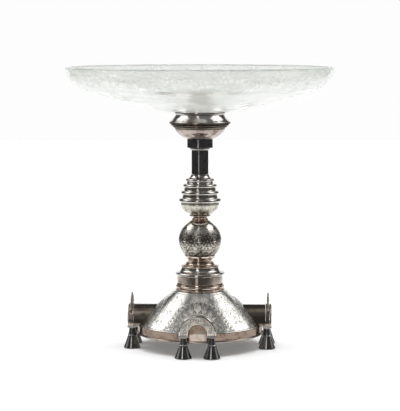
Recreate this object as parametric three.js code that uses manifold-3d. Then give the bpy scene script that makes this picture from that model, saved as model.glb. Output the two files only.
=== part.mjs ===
import * as THREE from "three";
import { mergeVertices } from "three/addons/utils/BufferGeometryUtils.js";
import Module from "manifold-3d";

// Tazza: a shallow glass dish on a turned silver-plated stem, in millimetres, +Z up.
// The origin is the middle of the feet, on the surface that they stand on.
// A turned piece is drawn as [radius, height] from its own bottom and set at its level in the stack.

// Clearances
const seatGap = 0.3; // between a piece and the one that it stands on or is cut to
const rodClearance = 0.4; // round the tie rod
const pegClearance = 0.3; // round the glass peg

// Glass dish
const dishRadius = 127;
const dishHeight = 41.5;
const dishFlatRadius = 34; // flat underside that sits on the socket
const dishWallWidth = 23; // how far in from the rim the steep wall begins
const dishWallStart = 18.6; // height where the shallow cone turns into the wall
const dishWallBend = { inwards: 6, rise: 4.4 }; // point that the wall bends towards
const dishRing = { width: 7, rise: 1.4 }; // round the flat underside
const dishEdge = 1; // rounding of the rim
const glassThickness = 3.2;
const pegRadius = 16.5;
const pegLength = 14;
const pegEdge = 0.8;

// Socket for the dish
const lipOverhang = 0.6; // beyond the top of the skirt
const lipHeight = 2.9;
const lipEdge = 0.4;
const socketRoom = 1.6; // between the cork's seat and the inside of the skirt
const skirtFlare = 5.8; // how much wider the skirt is at its foot
const skirtHeight = 7.1;
const skirtEdge = 0.7; // upright edge at its foot
const flangeHeight = 5.5;
const flangeStepCount = 3;
const flangeStepDepth = 0.5;
const flangeSetBack = 0.2; // behind the skirt's edge
const ledgeThickness = 1.3;
const ledgeRadius = 13; // opening in the ledge that carries the cork
const bowlStep = 0.3; // how much wider the bowl is than the top of the skirt
const bowlHeight = 9.3;
const bowlBend = { inwards: 2.2, rise: 3.5 }; // point that its side bends towards
const bowlFloor = 1.8;
const corkThickness = 3.2;

// Shaft
const drumRadius = 12.2;
const drumHeight = 8.2;
const drumRingRadius = 9.5;
const drumRingHeight = 1.7;
const ringEdge = 0.5; // rounding of the thin rings
const shaftRadius = 8.05;
const shaftLength = 22.7;

// Ringed knop, from its bottom ring up
const knopRings = [
  { radius: 20, thickness: 4.2, neck: 16.6, rise: 7.2 },
  { radius: 18, thickness: 3.7, neck: 15, rise: 6.6 },
  { radius: 16.1, thickness: 3.3, neck: 12.4, rise: 5.3 },
  { radius: 13.7, thickness: 2.5, neck: 12.4, rise: 0 },
];
const firstRingHeight = 2.3;
const ringDepth = 0.8; // rounding of each ring's edge
const ringToNeck = 0.4; // from a ring to the straight neck over or under it
const knopMouth = 14.2; // opening under the bottom ring
const knopRoofRadius = 9; // inside, under the flare
const flareHeight = 5.2; // from the top ring to the shaft
const cupRadius = 18.4;
const cupHeight = 11.2;
const cupBend = { inwards: 1.8, rise: 3.5 }; // point that its side bends towards
const cupBead = { height: 1.7, depth: 0.5 };
const cupFootRadius = 9.9;
const knopRingRadius = 10.1;
const knopRingHeight = 1.3;

// Ball
const ballRadius = 20.1;
const neckRadius = 6.7;
const neckRise = 2.3; // neck above the top of the ball
const neckCollarRadius = 9.7;
const neckCollarHeight = 0.8;
const seatRadius = 18;
const seatNeckRadius = 11;
const seatBase = 5.3; // metal under the ball
const seatCupHeight = 11.1;
const seatCupEdge = 0.7;
const seatBead = { height: 0.95, thickness: 1.5 };
const seatNeck = { from: 6.1, to: 6.9 }; // heights of the narrow part over its foot

// Waist
const spreaderRadius = 23.5;
const spreaderTopRadius = 17.5;
const spreaderHeight = 7.5;
const spreaderEdge = { from: 0.9, to: 2.3, top: 3.1 }; // heights of its upright edge
const waistRadius = 21.6;
const waistHeight = 7;
const waistRingRadius = 23.5;
const waistRingHeight = 6.4;
const lowerBead = { height: 0.85, thickness: 1.7, depth: 0.5 };
const upperBead = { height: 4, thickness: 3.2, depth: 0.8 };

// Conical foot
const coneTopRadius = 24.5;
const coneRadius = 59.4;
const coneHeight = 31.9;
const coneBulge = 1.2;
const bandHeight = 6.6;
const rimProud = 0.9;
const rimRounding = 0.6;
const rimHeight = 2;
const rimBottom = 12.9; // clear height under the foot's edge
const sheet = 1.5; // thickness of the raised and spun metal

// Vaults and their feet
const faceReach = 8.7; // from the edge of the cone out to the flat front of an arch
const archRadius = 17.3;
const archStilt = 1.6; // straight part under the round arch
const vaultStep = 0.6; // from the outside of an arch in to its vault
const vaultSheet = 1.3;
const archivoltDepth = 5.5;
const archivoltSheet = 1.6;
const plateInset = 0.8;
const plateThickness = 1.2;
const openingRadius = 8.8;
const openingLip = 1.3;
const lipProud = 0.5;
const crestHeight = 10.8; // leaf tip above the archivolt
const crestThickness = 1.3;
const crestDistance = 3.3; // middle of the cresting behind the face
const crestRail = 1.4;
const crestLeafAngle = 15.5; // degrees from one leaf to the next
const crestSideLeaves = 3;
const crestShrink = 0.19; // share that each leaf loses to the one before
const middleLeafWidth = 3.1; // half of it, as below
const sideLeafWidth = 2.4;
const padWidth = 9.2;
const padThickness = 1.3;
const footInset = 4.2; // from the outside of an arch in to the middle of its foot
const footHeight = 19.8;
const footRadius = 8;
const footEdge = 0.7; // upright edge on the ground
const footCollar = { radius: 4.1, from: 12.1, to: 12.7 };
const footNeck = { from: 3.7, to: 2.8 }; // its radius over the collar and under the flange
const footFlange = { radius: 3.6, thickness: 0.9, underside: 0.4 };
const spigotRadius = 1.5;
const spigotShort = 0.1; // below the top of its pad

// Tie rod and its nuts
const rodRadius = 2.4;
const rodEnd = 1; // rod showing past each nut
const nutHeight = 4;
const nutRadius = 4.7; // over the corners
const washerRadius = 7;
const washerThickness = 0.8;

// Sides of the round pieces
const dishSides = 40;
const coneSides = 36;
const stemSides = 20;
const slimSides = 16;
const footSides = 12;
const archSteps = 5; // to a quarter of an arch

// Levels in the stack, worked upwards
const bandBottom = rimBottom + rimHeight + seatGap;
const coneBottom = bandBottom + bandHeight + seatGap;
const coneTop = coneBottom + coneHeight;
const waistRingBottom = coneTop + seatGap;
const waistBottom = waistRingBottom + waistRingHeight + seatGap;
const spreaderBottom = waistBottom + waistHeight + seatGap;
const seatBottom = spreaderBottom + spreaderHeight + seatGap;
const ballCentre = seatBottom + seatBase + seatGap + ballRadius;
const neckTop = ballCentre + ballRadius + neckRise;
const knopRingBottom = neckTop + seatGap;
const cupBottom = knopRingBottom + knopRingHeight + seatGap;
const knopBottom = cupBottom + cupHeight + seatGap;
const topRingHeight = firstRingHeight + knopRings.reduce((sum, ring) => sum + ring.rise, 0);
const knopHeight = topRingHeight + flareHeight;
const shaftBottom = knopBottom + knopHeight + seatGap;
const drumRingBottom = shaftBottom + shaftLength + seatGap;
const drumBottom = drumRingBottom + drumRingHeight + seatGap;
const bowlBottom = drumBottom + drumHeight + seatGap;
const flangeBottom = bowlBottom + bowlHeight + seatGap;
const skirtBottom = flangeBottom + flangeHeight + seatGap;
const lipBottom = skirtBottom + skirtHeight + seatGap;
const dishBottom = lipBottom + lipHeight + seatGap;

// Sizes that follow from the ones above
const bore = rodRadius + rodClearance;
const corkInner = pegRadius + pegClearance;
const corkOuter = corkInner + corkThickness;
const flangeInner = corkOuter + seatGap;
const skirtTopRadius = flangeInner + socketRoom + sheet;
const skirtRadius = skirtTopRadius + skirtFlare;
const lipRadius = skirtTopRadius + lipOverhang;
const bowlRadius = skirtTopRadius + bowlStep;
const archCentre = footHeight + padThickness + 2 * seatGap + archStilt;
const padDepth = faceReach - seatGap;
const faceDistance = coneRadius + faceReach;
const vaultRadius = archRadius - vaultStep;
const footSpacing = archRadius - footInset;

const wasm = await Module();
wasm.setup();

function metal(color, roughness) {
  return new THREE.MeshStandardMaterial({ color, metalness: 1, roughness });
}

const finishes = {
  silver: () => metal(0xc9c5bf, 0.2),
  darkSilver: () => metal(0x8f8b86, 0.25),
  rosySilver: () => metal(0xb59f92, 0.28),
  steel: () => metal(0x9a9a9c, 0.4),
  glass: () => new THREE.MeshStandardMaterial({
    color: 0xdfe6df, metalness: 0, roughness: 0.15, transparent: true, opacity: 0.5,
  }),
  cork: () => new THREE.MeshStandardMaterial({ color: 0xb08a5c, metalness: 0, roughness: 0.9 }),
};

const tazza = new THREE.Group();

function place(parent, name, geometry, finish, height = 0) {
  const mesh = new THREE.Mesh(geometry, finishes[finish]());
  mesh.name = name;
  mesh.position.z = height;
  parent.add(mesh);
}

// Points on a curve from one point to another that is bent towards a third
function curve(from, towards, to, steps) {
  const bend = new THREE.QuadraticBezierCurve(
    new THREE.Vector2(...from),
    new THREE.Vector2(...towards),
    new THREE.Vector2(...to),
  );
  return bend.getPoints(steps).map((point) => [point.x, point.y]);
}

// Points on a circle about [0, centre], from one angle above the horizontal to another
function arc(radius, centre, fromAngle, toAngle, steps) {
  const points = [];
  for (let i = 0; i <= steps; i++) {
    const angle = fromAngle + ((toAngle - fromAngle) * i) / steps;
    points.push([radius * Math.cos(angle), centre + radius * Math.sin(angle)]);
  }
  return points;
}

// The same outline moved sideways by a distance, to the left of its direction
function offset(outline, distance) {
  return outline.map(([r, z], i) => {
    const before = outline[Math.max(i - 1, 0)];
    const after = outline[Math.min(i + 1, outline.length - 1)];
    const dr = after[0] - before[0];
    const dz = after[1] - before[1];
    const length = Math.hypot(dr, dz);
    return [r - (dz / length) * distance, z + (dr / length) * distance];
  });
}

// Inside of a bowl of even thickness, listed downwards from its rim
function bowlInside(side, thickness) {
  const inside = offset(side, thickness).slice(1);
  inside.at(-1)[1] = side.at(-1)[1];
  return inside.reverse();
}

// Turns an outline round the Z axis; an outline that isn't on the axis closes on itself
function turned(outline, sides) {
  const points = outline.map(([r, z]) => new THREE.Vector2(r, z));
  if (THREE.ShapeUtils.isClockWise(points)) points.reverse();
  if (points[0].x > 0) points.push(points[0].clone());
  const geometry = new THREE.LatheGeometry(points, sides);
  geometry.rotateX(Math.PI / 2);
  return closed(geometry);
}

// Welds a geometry's seams, so that it is one closed surface
function closed(geometry) {
  geometry.deleteAttribute("normal");
  geometry.deleteAttribute("uv");
  const welded = mergeVertices(geometry, 0.001);
  welded.computeVertexNormals();
  return welded;
}

function solidOf(geometry) {
  const welded = closed(geometry);
  return new wasm.Manifold(new wasm.Mesh({
    numProp: 3,
    vertProperties: new Float32Array(welded.attributes.position.array),
    triVerts: new Uint32Array(welded.index.array),
  }));
}

function geometryOf(solid) {
  const mesh = solid.getMesh();
  const geometry = new THREE.BufferGeometry();
  geometry.setAttribute("position", new THREE.BufferAttribute(mesh.vertProperties, 3));
  geometry.setIndex(new THREE.BufferAttribute(mesh.triVerts, 1));
  geometry.computeVertexNormals();
  return geometry;
}

// A rounded bead on an outline, listed upwards
function bead(radius, height, thickness, depth) {
  return [
    [radius - depth, height - thickness / 2],
    [radius, height],
    [radius - depth, height + thickness / 2],
  ];
}

function ring(outer, inner, height) {
  return [[inner, 0], [outer, 0], [outer, height], [inner, height]];
}

// Half of the dish: the peg, the flat and the shallow cone of the underside, the steep wall,
// then the inside, which follows them at the thickness of the glass
function dishOutline() {
  const coneStart = [dishFlatRadius + dishRing.width, dishRing.rise];
  const underside = [
    coneStart,
    ...curve(
      [dishRadius - dishWallWidth, dishWallStart],
      [dishRadius - dishWallBend.inwards, dishWallStart + dishWallBend.rise],
      [dishRadius, dishHeight - dishEdge],
      5,
    ),
  ];
  const inside = offset(underside, glassThickness).slice(0, -1).reverse();
  return [
    [0, -pegLength],
    [pegRadius - pegEdge, -pegLength],
    [pegRadius, -pegLength + pegEdge],
    [pegRadius, 0],
    [dishFlatRadius, 0],
    ...underside,
    [dishRadius - 0.25 * glassThickness, dishHeight],
    [dishRadius - 0.75 * glassThickness, dishHeight],
    [dishRadius - 1.05 * glassThickness, dishHeight - dishEdge],
    ...inside,
    [dishFlatRadius - 1, glassThickness],
    [0, glassThickness],
  ];
}

function makeDish() {
  place(tazza, "glass_dish", turned(dishOutline(), dishSides), "glass", dishBottom);
}

// Steps of the flange's outside, listed upwards from its bottom
function flangeSteps() {
  const bottom = bowlRadius + flangeSetBack;
  const top = skirtRadius - flangeSetBack;
  const points = [[bottom, 0]];
  for (let i = 1; i <= flangeStepCount; i++) {
    const radius = bottom + ((top - bottom) * i) / flangeStepCount;
    const height = (0.85 * flangeHeight * i) / flangeStepCount;
    points.push([radius - flangeStepDepth, height], [radius, height + 0.1]);
  }
  points.push([top, flangeHeight]);
  return points;
}

function makeSocket() {
  const lipInner = pegRadius + 2 * pegClearance;
  const lip = [
    [lipInner, 0],
    [skirtTopRadius, 0],
    [lipRadius - lipEdge, lipEdge],
    [lipRadius, lipHeight / 2],
    [lipRadius, lipHeight - lipEdge],
    [lipRadius - lipEdge, lipHeight],
    [lipInner, lipHeight],
  ];
  place(tazza, "socket_lip", turned(lip, stemSides), "silver", lipBottom);

  const skirt = [
    [skirtRadius - sheet, 0],
    [skirtRadius, 0],
    [skirtRadius, skirtEdge],
    [skirtTopRadius, skirtHeight],
    [skirtTopRadius - sheet, skirtHeight],
  ];
  place(tazza, "socket_skirt", turned(skirt, stemSides), "silver", skirtBottom);

  const flange = [
    [ledgeRadius, 0],
    ...flangeSteps(),
    [flangeInner, flangeHeight],
    [flangeInner, ledgeThickness],
    [ledgeRadius, ledgeThickness],
  ];
  place(tazza, "socket_flange", turned(flange, stemSides), "silver", flangeBottom);

  const bowlSide = curve(
    [drumRadius + seatGap, 0],
    [bowlRadius - bowlBend.inwards, bowlBend.rise],
    [bowlRadius, bowlHeight],
    4,
  );
  const bowl = [
    [bore, 0],
    ...bowlSide,
    ...bowlInside(bowlSide, sheet),
    [drumRadius - sheet, bowlFloor],
    [bore, bowlFloor],
  ];
  place(tazza, "socket_bowl", turned(bowl, stemSides), "rosySilver", bowlBottom);

  const corkBottom = flangeBottom + ledgeThickness + seatGap;
  const cork = ring(corkOuter, corkInner, lipBottom - seatGap - corkBottom);
  place(tazza, "cork_sleeve", turned(cork, stemSides), "cork", corkBottom);
}

function makeShaft() {
  const drum = [
    [bore, 0],
    [drumRadius, 0],
    [drumRadius, drumHeight],
    [drumRadius - sheet, drumHeight],
    [drumRadius - sheet, sheet],
    [bore, sheet],
  ];
  place(tazza, "upper_drum", turned(drum, slimSides), "darkSilver", drumBottom);

  const drumRing = [
    [bore, 0],
    ...bead(drumRingRadius, drumRingHeight / 2, drumRingHeight, ringEdge),
    [bore, drumRingHeight],
  ];
  place(tazza, "drum_ring", turned(drumRing, slimSides), "silver", drumRingBottom);

  const shaft = ring(shaftRadius, shaftRadius - sheet, shaftLength);
  place(tazza, "column_shaft", turned(shaft, slimSides), "darkSilver", shaftBottom);
}

// Outside of the ringed knop, listed upwards: rings with a straight neck above each
function knopOutside() {
  const points = [[knopRings[0].radius - 2 * ringDepth, 0]];
  let height = firstRingHeight;
  knopRings.forEach(({ radius, thickness, neck, rise }, i) => {
    const half = thickness / 2;
    points.push(
      [radius - ringDepth, height - half],
      [radius, height - half / 2],
      [radius, height + half / 2],
      [radius - ringDepth, height + half],
    );
    if (i < knopRings.length - 1) {
      const nextHalf = knopRings[i + 1].thickness / 2;
      points.push([neck, height + half + ringToNeck], [neck, height + rise - nextHalf - ringToNeck]);
    }
    height += rise;
  });
  const flareFoot = knopRings.at(-1).neck + 0.4;
  return [
    ...points,
    ...curve(
      [flareFoot, topRingHeight + 1.3],
      [shaftRadius + 1.2, topRingHeight + 1.9],
      [shaftRadius + seatGap, knopHeight],
      4,
    ),
  ];
}

function makeKnop() {
  const knop = [
    [knopMouth, 0],
    ...knopOutside(),
    [bore, knopHeight],
    [bore, topRingHeight - sheet / 2],
    [knopRoofRadius, topRingHeight - sheet],
  ];
  place(tazza, "ringed_knop", turned(knop, stemSides), "silver", knopBottom);

  const cupNeck = cupHeight - cupBead.height;
  const cupSide = curve(
    [cupFootRadius, 0],
    [cupRadius - cupBend.inwards, cupBend.rise],
    [cupRadius, cupNeck],
    4,
  );
  const cup = [
    [bore, 0],
    ...cupSide,
    [cupRadius - cupBead.depth, cupNeck + 0.2],
    [cupRadius, cupHeight - cupBead.height / 2],
    [cupRadius - cupBead.depth / 2, cupHeight],
    [cupRadius - cupBead.depth - sheet, cupHeight],
    ...bowlInside(cupSide, sheet),
    [bore, sheet],
  ];
  place(tazza, "knop_cup", turned(cup, stemSides), "silver", cupBottom);

  const knopRing = [
    [bore, 0],
    ...bead(knopRingRadius, knopRingHeight / 2, knopRingHeight, ringEdge),
    [bore, knopRingHeight],
  ];
  place(tazza, "knop_ring", turned(knopRing, slimSides), "silver", knopRingBottom);
}

function makeBall() {
  const inner = ballRadius - sheet;
  const outerAngle = Math.acos(bore / ballRadius);
  const innerAngle = Math.acos(bore / inner);
  const ball = [
    ...arc(ballRadius, 0, -outerAngle, outerAngle, 12),
    ...arc(inner, 0, innerAngle, -innerAngle, 6),
  ];
  place(tazza, "ball_knop", turned(ball, stemSides), "silver", ballCentre);

  // The neck and the seat fit the ball, so both are drawn from the ball's centre
  const fit = ballRadius + seatGap;
  const collarAngle = Math.acos(neckCollarRadius / fit);
  const collarEdge = fit * Math.sin(collarAngle);
  const neck = [
    ...arc(fit, 0, Math.acos(bore / fit), collarAngle, 3),
    [neckCollarRadius, collarEdge + neckCollarHeight],
    [neckRadius + seatGap, ballRadius + seatGap],
    [neckRadius, ballRadius + neckRise / 2],
    [neckRadius + seatGap, ballRadius + neckRise],
    [bore, ballRadius + neckRise],
  ];
  place(tazza, "stem_neck", turned(neck, slimSides), "rosySilver", ballCentre);

  const bottom = seatBottom - ballCentre;
  const cupTop = bottom + seatCupHeight;
  const cupAngle = Math.asin(cupTop / fit);
  const cupEdge = fit * Math.cos(cupAngle);
  const seat = [
    [bore, bottom],
    [seatRadius - ringEdge, bottom],
    ...bead(seatRadius, bottom + seatBead.height, seatBead.thickness, ringEdge),
    ...curve(
      [seatRadius - 1.4, bottom + 1.9],
      [seatNeckRadius + 2, bottom + 2.4],
      [seatNeckRadius + 1.9, bottom + 4.9],
      2,
    ),
    [seatNeckRadius, bottom + seatNeck.from],
    [seatNeckRadius, bottom + seatNeck.to],
    [cupEdge + seatCupEdge, cupTop],
    ...arc(fit, 0, cupAngle, -Math.acos(bore / fit), 5),
  ];
  place(tazza, "ball_seat", turned(seat, stemSides), "rosySilver", ballCentre);
}

function makeWaist() {
  const spreaderSide = curve(
    [spreaderRadius - 0.9, spreaderEdge.top],
    [spreaderTopRadius + 0.5, spreaderEdge.top + 0.8],
    [spreaderTopRadius, spreaderHeight],
    3,
  );
  const spreader = [
    [waistRadius - sheet, 0],
    [spreaderRadius - 0.8, 0],
    [spreaderRadius, spreaderEdge.from],
    [spreaderRadius, spreaderEdge.to],
    ...spreaderSide,
    [bore, spreaderHeight],
    [bore, spreaderHeight - sheet],
    [spreaderTopRadius - sheet, spreaderHeight - sheet],
    [spreaderTopRadius - sheet, spreaderEdge.top],
    [waistRadius - sheet, spreaderEdge.to],
  ];
  place(tazza, "stem_spreader", turned(spreader, stemSides), "silver", spreaderBottom);

  const collar = ring(waistRadius, waistRadius - sheet, waistHeight);
  place(tazza, "waist_collar", turned(collar, stemSides), "rosySilver", waistBottom);

  const waistRing = [
    [waistRadius - 2 * sheet, 0],
    ...bead(waistRingRadius, lowerBead.height, lowerBead.thickness, lowerBead.depth),
    [waistRingRadius - 1.1, lowerBead.thickness + 0.2],
    ...bead(waistRingRadius - 0.3, upperBead.height, upperBead.thickness, upperBead.depth),
    [waistRadius + 0.3, waistRingHeight],
    [waistRadius - 2 * sheet, waistRingHeight],
  ];
  place(tazza, "waist_ring", turned(waistRing, stemSides), "rosySilver", waistRingBottom);
}

// Outside of the cone from its foot up, in the height of the whole stand
function coneSide() {
  return curve(
    [coneRadius, coneBottom],
    [(coneRadius + coneTopRadius) / 2 + coneBulge / 2, (coneBottom + coneTop) / 2 + coneBulge],
    [coneTopRadius, coneTop],
    3,
  );
}

function makeCone() {
  const outside = coneSide();
  const inside = offset(outside, sheet).reverse();
  const cone = [
    ...outside,
    [bore, coneTop],
    [bore, coneTop - sheet],
    [inside[0][0] - 1, coneTop - sheet],
    ...inside.slice(1, -1),
    [coneRadius - 2 * sheet, coneBottom],
  ];
  place(tazza, "cone_foot", turned(cone, coneSides), "silver");

  const band = ring(coneRadius, coneRadius - sheet, bandHeight);
  place(tazza, "foot_band", turned(band, coneSides), "rosySilver", bandBottom);

  const rim = [
    [coneRadius - sheet, 0],
    ...bead(coneRadius + rimProud, rimHeight / 2, rimHeight, rimRounding),
    [coneRadius - sheet, rimHeight],
  ];
  place(tazza, "foot_rim", turned(rim, coneSides), "rosySilver", rimBottom);
}

// The space that the cone and its band fill, with the gap that its neighbours keep
function coneClearance() {
  const side = offset(coneSide(), -seatGap);
  return solidOf(turned([
    [0, rimBottom],
    [coneRadius + seatGap, rimBottom],
    [coneRadius + seatGap, coneBottom],
    ...side,
    [0, coneTop + seatGap],
  ], coneSides));
}

// A round arch on straight stilts, as a flat shape about the middle of the arch
function archShape(outer, inner) {
  const shape = new THREE.Shape();
  shape.moveTo(outer, -archStilt);
  shape.absarc(0, 0, outer, 0, Math.PI, false);
  shape.lineTo(-outer, -archStilt);
  shape.lineTo(-inner, -archStilt);
  shape.absarc(0, 0, inner, Math.PI, 0, true);
  shape.lineTo(inner, -archStilt);
  return shape;
}

// Stands a flat shape up and thickens it outwards, from one distance in front of the axis to another
function upright(shape, from, to, curveSegments) {
  const settings = { depth: to - from, bevelEnabled: false, curveSegments };
  const geometry = new THREE.ExtrudeGeometry(shape, settings);
  geometry.translate(0, 0, from);
  geometry.rotateX(Math.PI / 2);
  geometry.translate(0, 0, archCentre);
  return geometry;
}

// One leaf of the cresting, pointing away from the middle of the arch
function leafShape(angle, root, tip, width) {
  const across = [Math.cos(angle), -Math.sin(angle)];
  const along = [Math.sin(angle), Math.cos(angle)];
  const at = (side, distance) => [
    side * across[0] + distance * along[0],
    side * across[1] + distance * along[1],
  ];
  const middle = root + 0.62 * (tip - root);
  const shape = new THREE.Shape();
  shape.moveTo(...at(0.35 * width, root));
  shape.quadraticCurveTo(...at(0.3 * width, root + 0.3 * (tip - root)), ...at(width, middle));
  shape.quadraticCurveTo(...at(0.9 * width, tip - 0.4), ...at(0, tip));
  shape.quadraticCurveTo(...at(-0.9 * width, tip - 0.4), ...at(-width, middle));
  shape.quadraticCurveTo(...at(-0.3 * width, root + 0.3 * (tip - root)), ...at(-0.35 * width, root));
  return shape;
}

// A rail that follows the archivolt, with seven leaves that shrink from the middle outwards
function crestingGeometry() {
  const railInner = archRadius + seatGap;
  const railOuter = railInner + crestRail;
  const leafStep = THREE.MathUtils.degToRad(crestLeafAngle);
  const span = (crestSideLeaves + 0.35) * leafStep;
  const back = faceDistance - crestDistance - crestThickness / 2;
  const front = back + crestThickness;
  const rail = new THREE.Shape();
  rail.absarc(0, 0, railOuter, Math.PI / 2 - span, Math.PI / 2 + span, false);
  rail.absarc(0, 0, railInner, Math.PI / 2 + span, Math.PI / 2 - span, true);
  let cresting = solidOf(upright(rail, back, front, 7));
  for (let i = -crestSideLeaves; i <= crestSideLeaves; i++) {
    const size = 1 - crestShrink * Math.abs(i);
    const tip = railInner + (crestHeight - seatGap) * size;
    const width = i === 0 ? middleLeafWidth : sideLeafWidth;
    const leaf = leafShape(i * leafStep, railInner + crestRail / 2, tip, width);
    cresting = cresting.add(solidOf(upright(leaf, back, front, 2)));
  }
  return geometryOf(cresting);
}

function padGeometry() {
  const hole = spigotRadius + rodClearance;
  const shape = new THREE.Shape();
  shape.moveTo(-padWidth / 2, -padDepth / 2);
  shape.lineTo(padWidth / 2, -padDepth / 2);
  shape.lineTo(padWidth / 2, padDepth / 2);
  shape.lineTo(-padWidth / 2, padDepth / 2);
  const opening = new THREE.Path();
  opening.absarc(0, 0, hole, 0, 2 * Math.PI, true);
  shape.holes.push(opening);
  const settings = { depth: padThickness, bevelEnabled: false, curveSegments: 3 };
  return new THREE.ExtrudeGeometry(shape, settings);
}

function footGeometry() {
  const spigotTop = footHeight + seatGap + padThickness - spigotShort;
  const flangeBase = footHeight - footFlange.thickness;
  return turned([
    [0, 0],
    [footRadius, 0],
    [footRadius, footEdge],
    [footCollar.radius, footCollar.from],
    [footCollar.radius, footCollar.to],
    [footNeck.from, footCollar.to],
    [footNeck.to, flangeBase - footFlange.underside],
    [footFlange.radius, flangeBase],
    [footFlange.radius, footHeight],
    [spigotRadius, footHeight],
    [spigotRadius, spigotTop],
    [0, spigotTop],
  ], footSides);
}

// One side of the foot: its vault, arch, cresting and two feet, drawn facing -Y
function makeSide(side, turn) {
  const group = new THREE.Group();
  group.rotation.z = turn;
  tazza.add(group);

  const archivoltBack = faceDistance - archivoltDepth;
  const barrel = upright(
    archShape(vaultRadius, vaultRadius - vaultSheet),
    coneTopRadius,
    archivoltBack - seatGap,
    archSteps,
  );
  const vault = solidOf(barrel).subtract(coneClearance());
  place(group, side + "_vault", geometryOf(vault), "darkSilver");

  const archivoltInner = archRadius - archivoltSheet;
  const archivolt = upright(archShape(archRadius, archivoltInner), archivoltBack, faceDistance, archSteps);
  place(group, side + "_archivolt", closed(archivolt), "silver");

  const plateFront = faceDistance - plateInset;
  const plateBack = plateFront - plateThickness;
  const field = archShape(archivoltInner - seatGap, openingRadius + openingLip / 2);
  const lip = archShape(openingRadius + openingLip, openingRadius);
  const plate = solidOf(upright(field, plateBack, plateFront, archSteps)).add(
    solidOf(upright(lip, plateBack - lipProud, plateFront + lipProud, archSteps)),
  );
  place(group, side + "_arch_plate", geometryOf(plate), "silver");

  place(group, side + "_cresting", crestingGeometry(), "silver");

  [-1, 1].forEach((hand, i) => {
    const x = hand * footSpacing;
    const y = -(faceDistance - padDepth / 2);
    const pad = closed(padGeometry().translate(x, y, 0));
    place(group, side + "_pad_" + (i + 1), pad, "silver", footHeight + seatGap);
    place(group, side + "_foot_" + (i + 1), footGeometry().translate(x, y, 0), "darkSilver");
  });
}

function nutGeometry() {
  const shape = new THREE.Shape();
  for (let i = 0; i < 6; i++) {
    const angle = (i * Math.PI) / 3;
    const corner = [nutRadius * Math.cos(angle), nutRadius * Math.sin(angle)];
    if (i === 0) shape.moveTo(...corner);
    else shape.lineTo(...corner);
  }
  const hole = new THREE.Path();
  hole.absarc(0, 0, bore, 0, 2 * Math.PI, true);
  shape.holes.push(hole);
  const settings = { depth: nutHeight, bevelEnabled: false, curveSegments: 4 };
  return closed(new THREE.ExtrudeGeometry(shape, settings));
}

function makeTieRod() {
  const socketWasherBottom = bowlBottom + bowlFloor + seatGap;
  const socketNutBottom = socketWasherBottom + washerThickness + seatGap;
  const footWasherBottom = coneTop - sheet - seatGap - washerThickness;
  const footNutBottom = footWasherBottom - seatGap - nutHeight;
  const rodBottom = footNutBottom - rodEnd;
  const rodTop = socketNutBottom + nutHeight + rodEnd;
  const rod = [[0, 0], [rodRadius, 0], [rodRadius, rodTop - rodBottom], [0, rodTop - rodBottom]];
  const washer = ring(washerRadius, bore, washerThickness);
  place(tazza, "tie_rod", turned(rod, footSides), "steel", rodBottom);
  place(tazza, "socket_washer", turned(washer, footSides), "steel", socketWasherBottom);
  place(tazza, "socket_nut", nutGeometry(), "steel", socketNutBottom);
  place(tazza, "foot_washer", turned(washer, footSides), "steel", footWasherBottom);
  place(tazza, "foot_nut", nutGeometry(), "steel", footNutBottom);
}

makeDish();
makeSocket();
makeShaft();
makeKnop();
makeBall();
makeWaist();
makeCone();
["front", "right", "back", "left"].forEach((side, i) => makeSide(side, (i * Math.PI) / 2));
makeTieRod();

export default tazza;
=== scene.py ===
import random
from math import acos, asin, atan2, cos, hypot, pi, radians, sin, sqrt

import bmesh
import bpy
from mathutils import Matrix, Vector
from mathutils.kdtree import KDTree


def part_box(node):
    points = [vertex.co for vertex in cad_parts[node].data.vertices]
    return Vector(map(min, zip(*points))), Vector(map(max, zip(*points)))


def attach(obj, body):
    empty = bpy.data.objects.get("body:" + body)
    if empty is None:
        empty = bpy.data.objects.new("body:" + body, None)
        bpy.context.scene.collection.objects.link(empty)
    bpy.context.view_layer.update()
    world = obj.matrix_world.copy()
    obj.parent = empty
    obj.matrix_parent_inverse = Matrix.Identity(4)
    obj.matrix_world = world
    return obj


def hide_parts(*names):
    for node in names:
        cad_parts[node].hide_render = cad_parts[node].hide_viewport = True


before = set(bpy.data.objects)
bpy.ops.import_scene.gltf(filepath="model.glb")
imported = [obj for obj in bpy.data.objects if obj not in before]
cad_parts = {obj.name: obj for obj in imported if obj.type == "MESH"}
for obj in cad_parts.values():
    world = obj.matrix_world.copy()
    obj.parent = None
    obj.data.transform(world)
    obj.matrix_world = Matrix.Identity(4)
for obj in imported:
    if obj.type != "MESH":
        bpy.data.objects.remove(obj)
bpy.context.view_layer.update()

# Tazza: a glass dish on a turned and engraved silver-plated stand, in metres, +Z up.
# Sizes are written in millimetres and turned to metres by mm.
# The middle of the feet is the origin, and the front arch faces -Y.
mm = 0.001
scene = bpy.context.scene
quarter = pi / 2
cornerTurn = radians(30)  # an outline that turns by more has a corner there
white = (1, 1, 1, 1)


def hexLinear(code):
    channels = [int(code[i:i + 2], 16) / 255 for i in (1, 3, 5)]
    return tuple(c / 12.92 if c <= 0.04045 else ((c + 0.055) / 1.055) ** 2.4 for c in channels) + (1,)


def addNode(tree, kind, settings=None):
    # a setting that is another node or a socket is linked, and any other is set
    node = tree.nodes.new("ShaderNode" + kind)
    for key, value in (settings or {}).items():
        if isinstance(value, bpy.types.Node):
            value = value.outputs[0]
        if isinstance(value, bpy.types.NodeSocket):
            tree.links.new(value, node.inputs[key])
        elif isinstance(key, int) or key in node.inputs:
            node.inputs[key].default_value = value
        else:
            setattr(node, key, value)
    return node


def calc(tree, operation, *values):
    return addNode(tree, "Math", {"operation": operation, **dict(enumerate(values))}).outputs[0]


def ramp(tree, value, low, high, start=0.0, end=1.0, kind="SMOOTHSTEP"):
    # goes from start to end while a value goes from low to high
    return addNode(tree, "MapRange", {
        "interpolation_type": kind, 0: value, 1: low, 2: high, 3: start, 4: end}).outputs[0]


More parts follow.
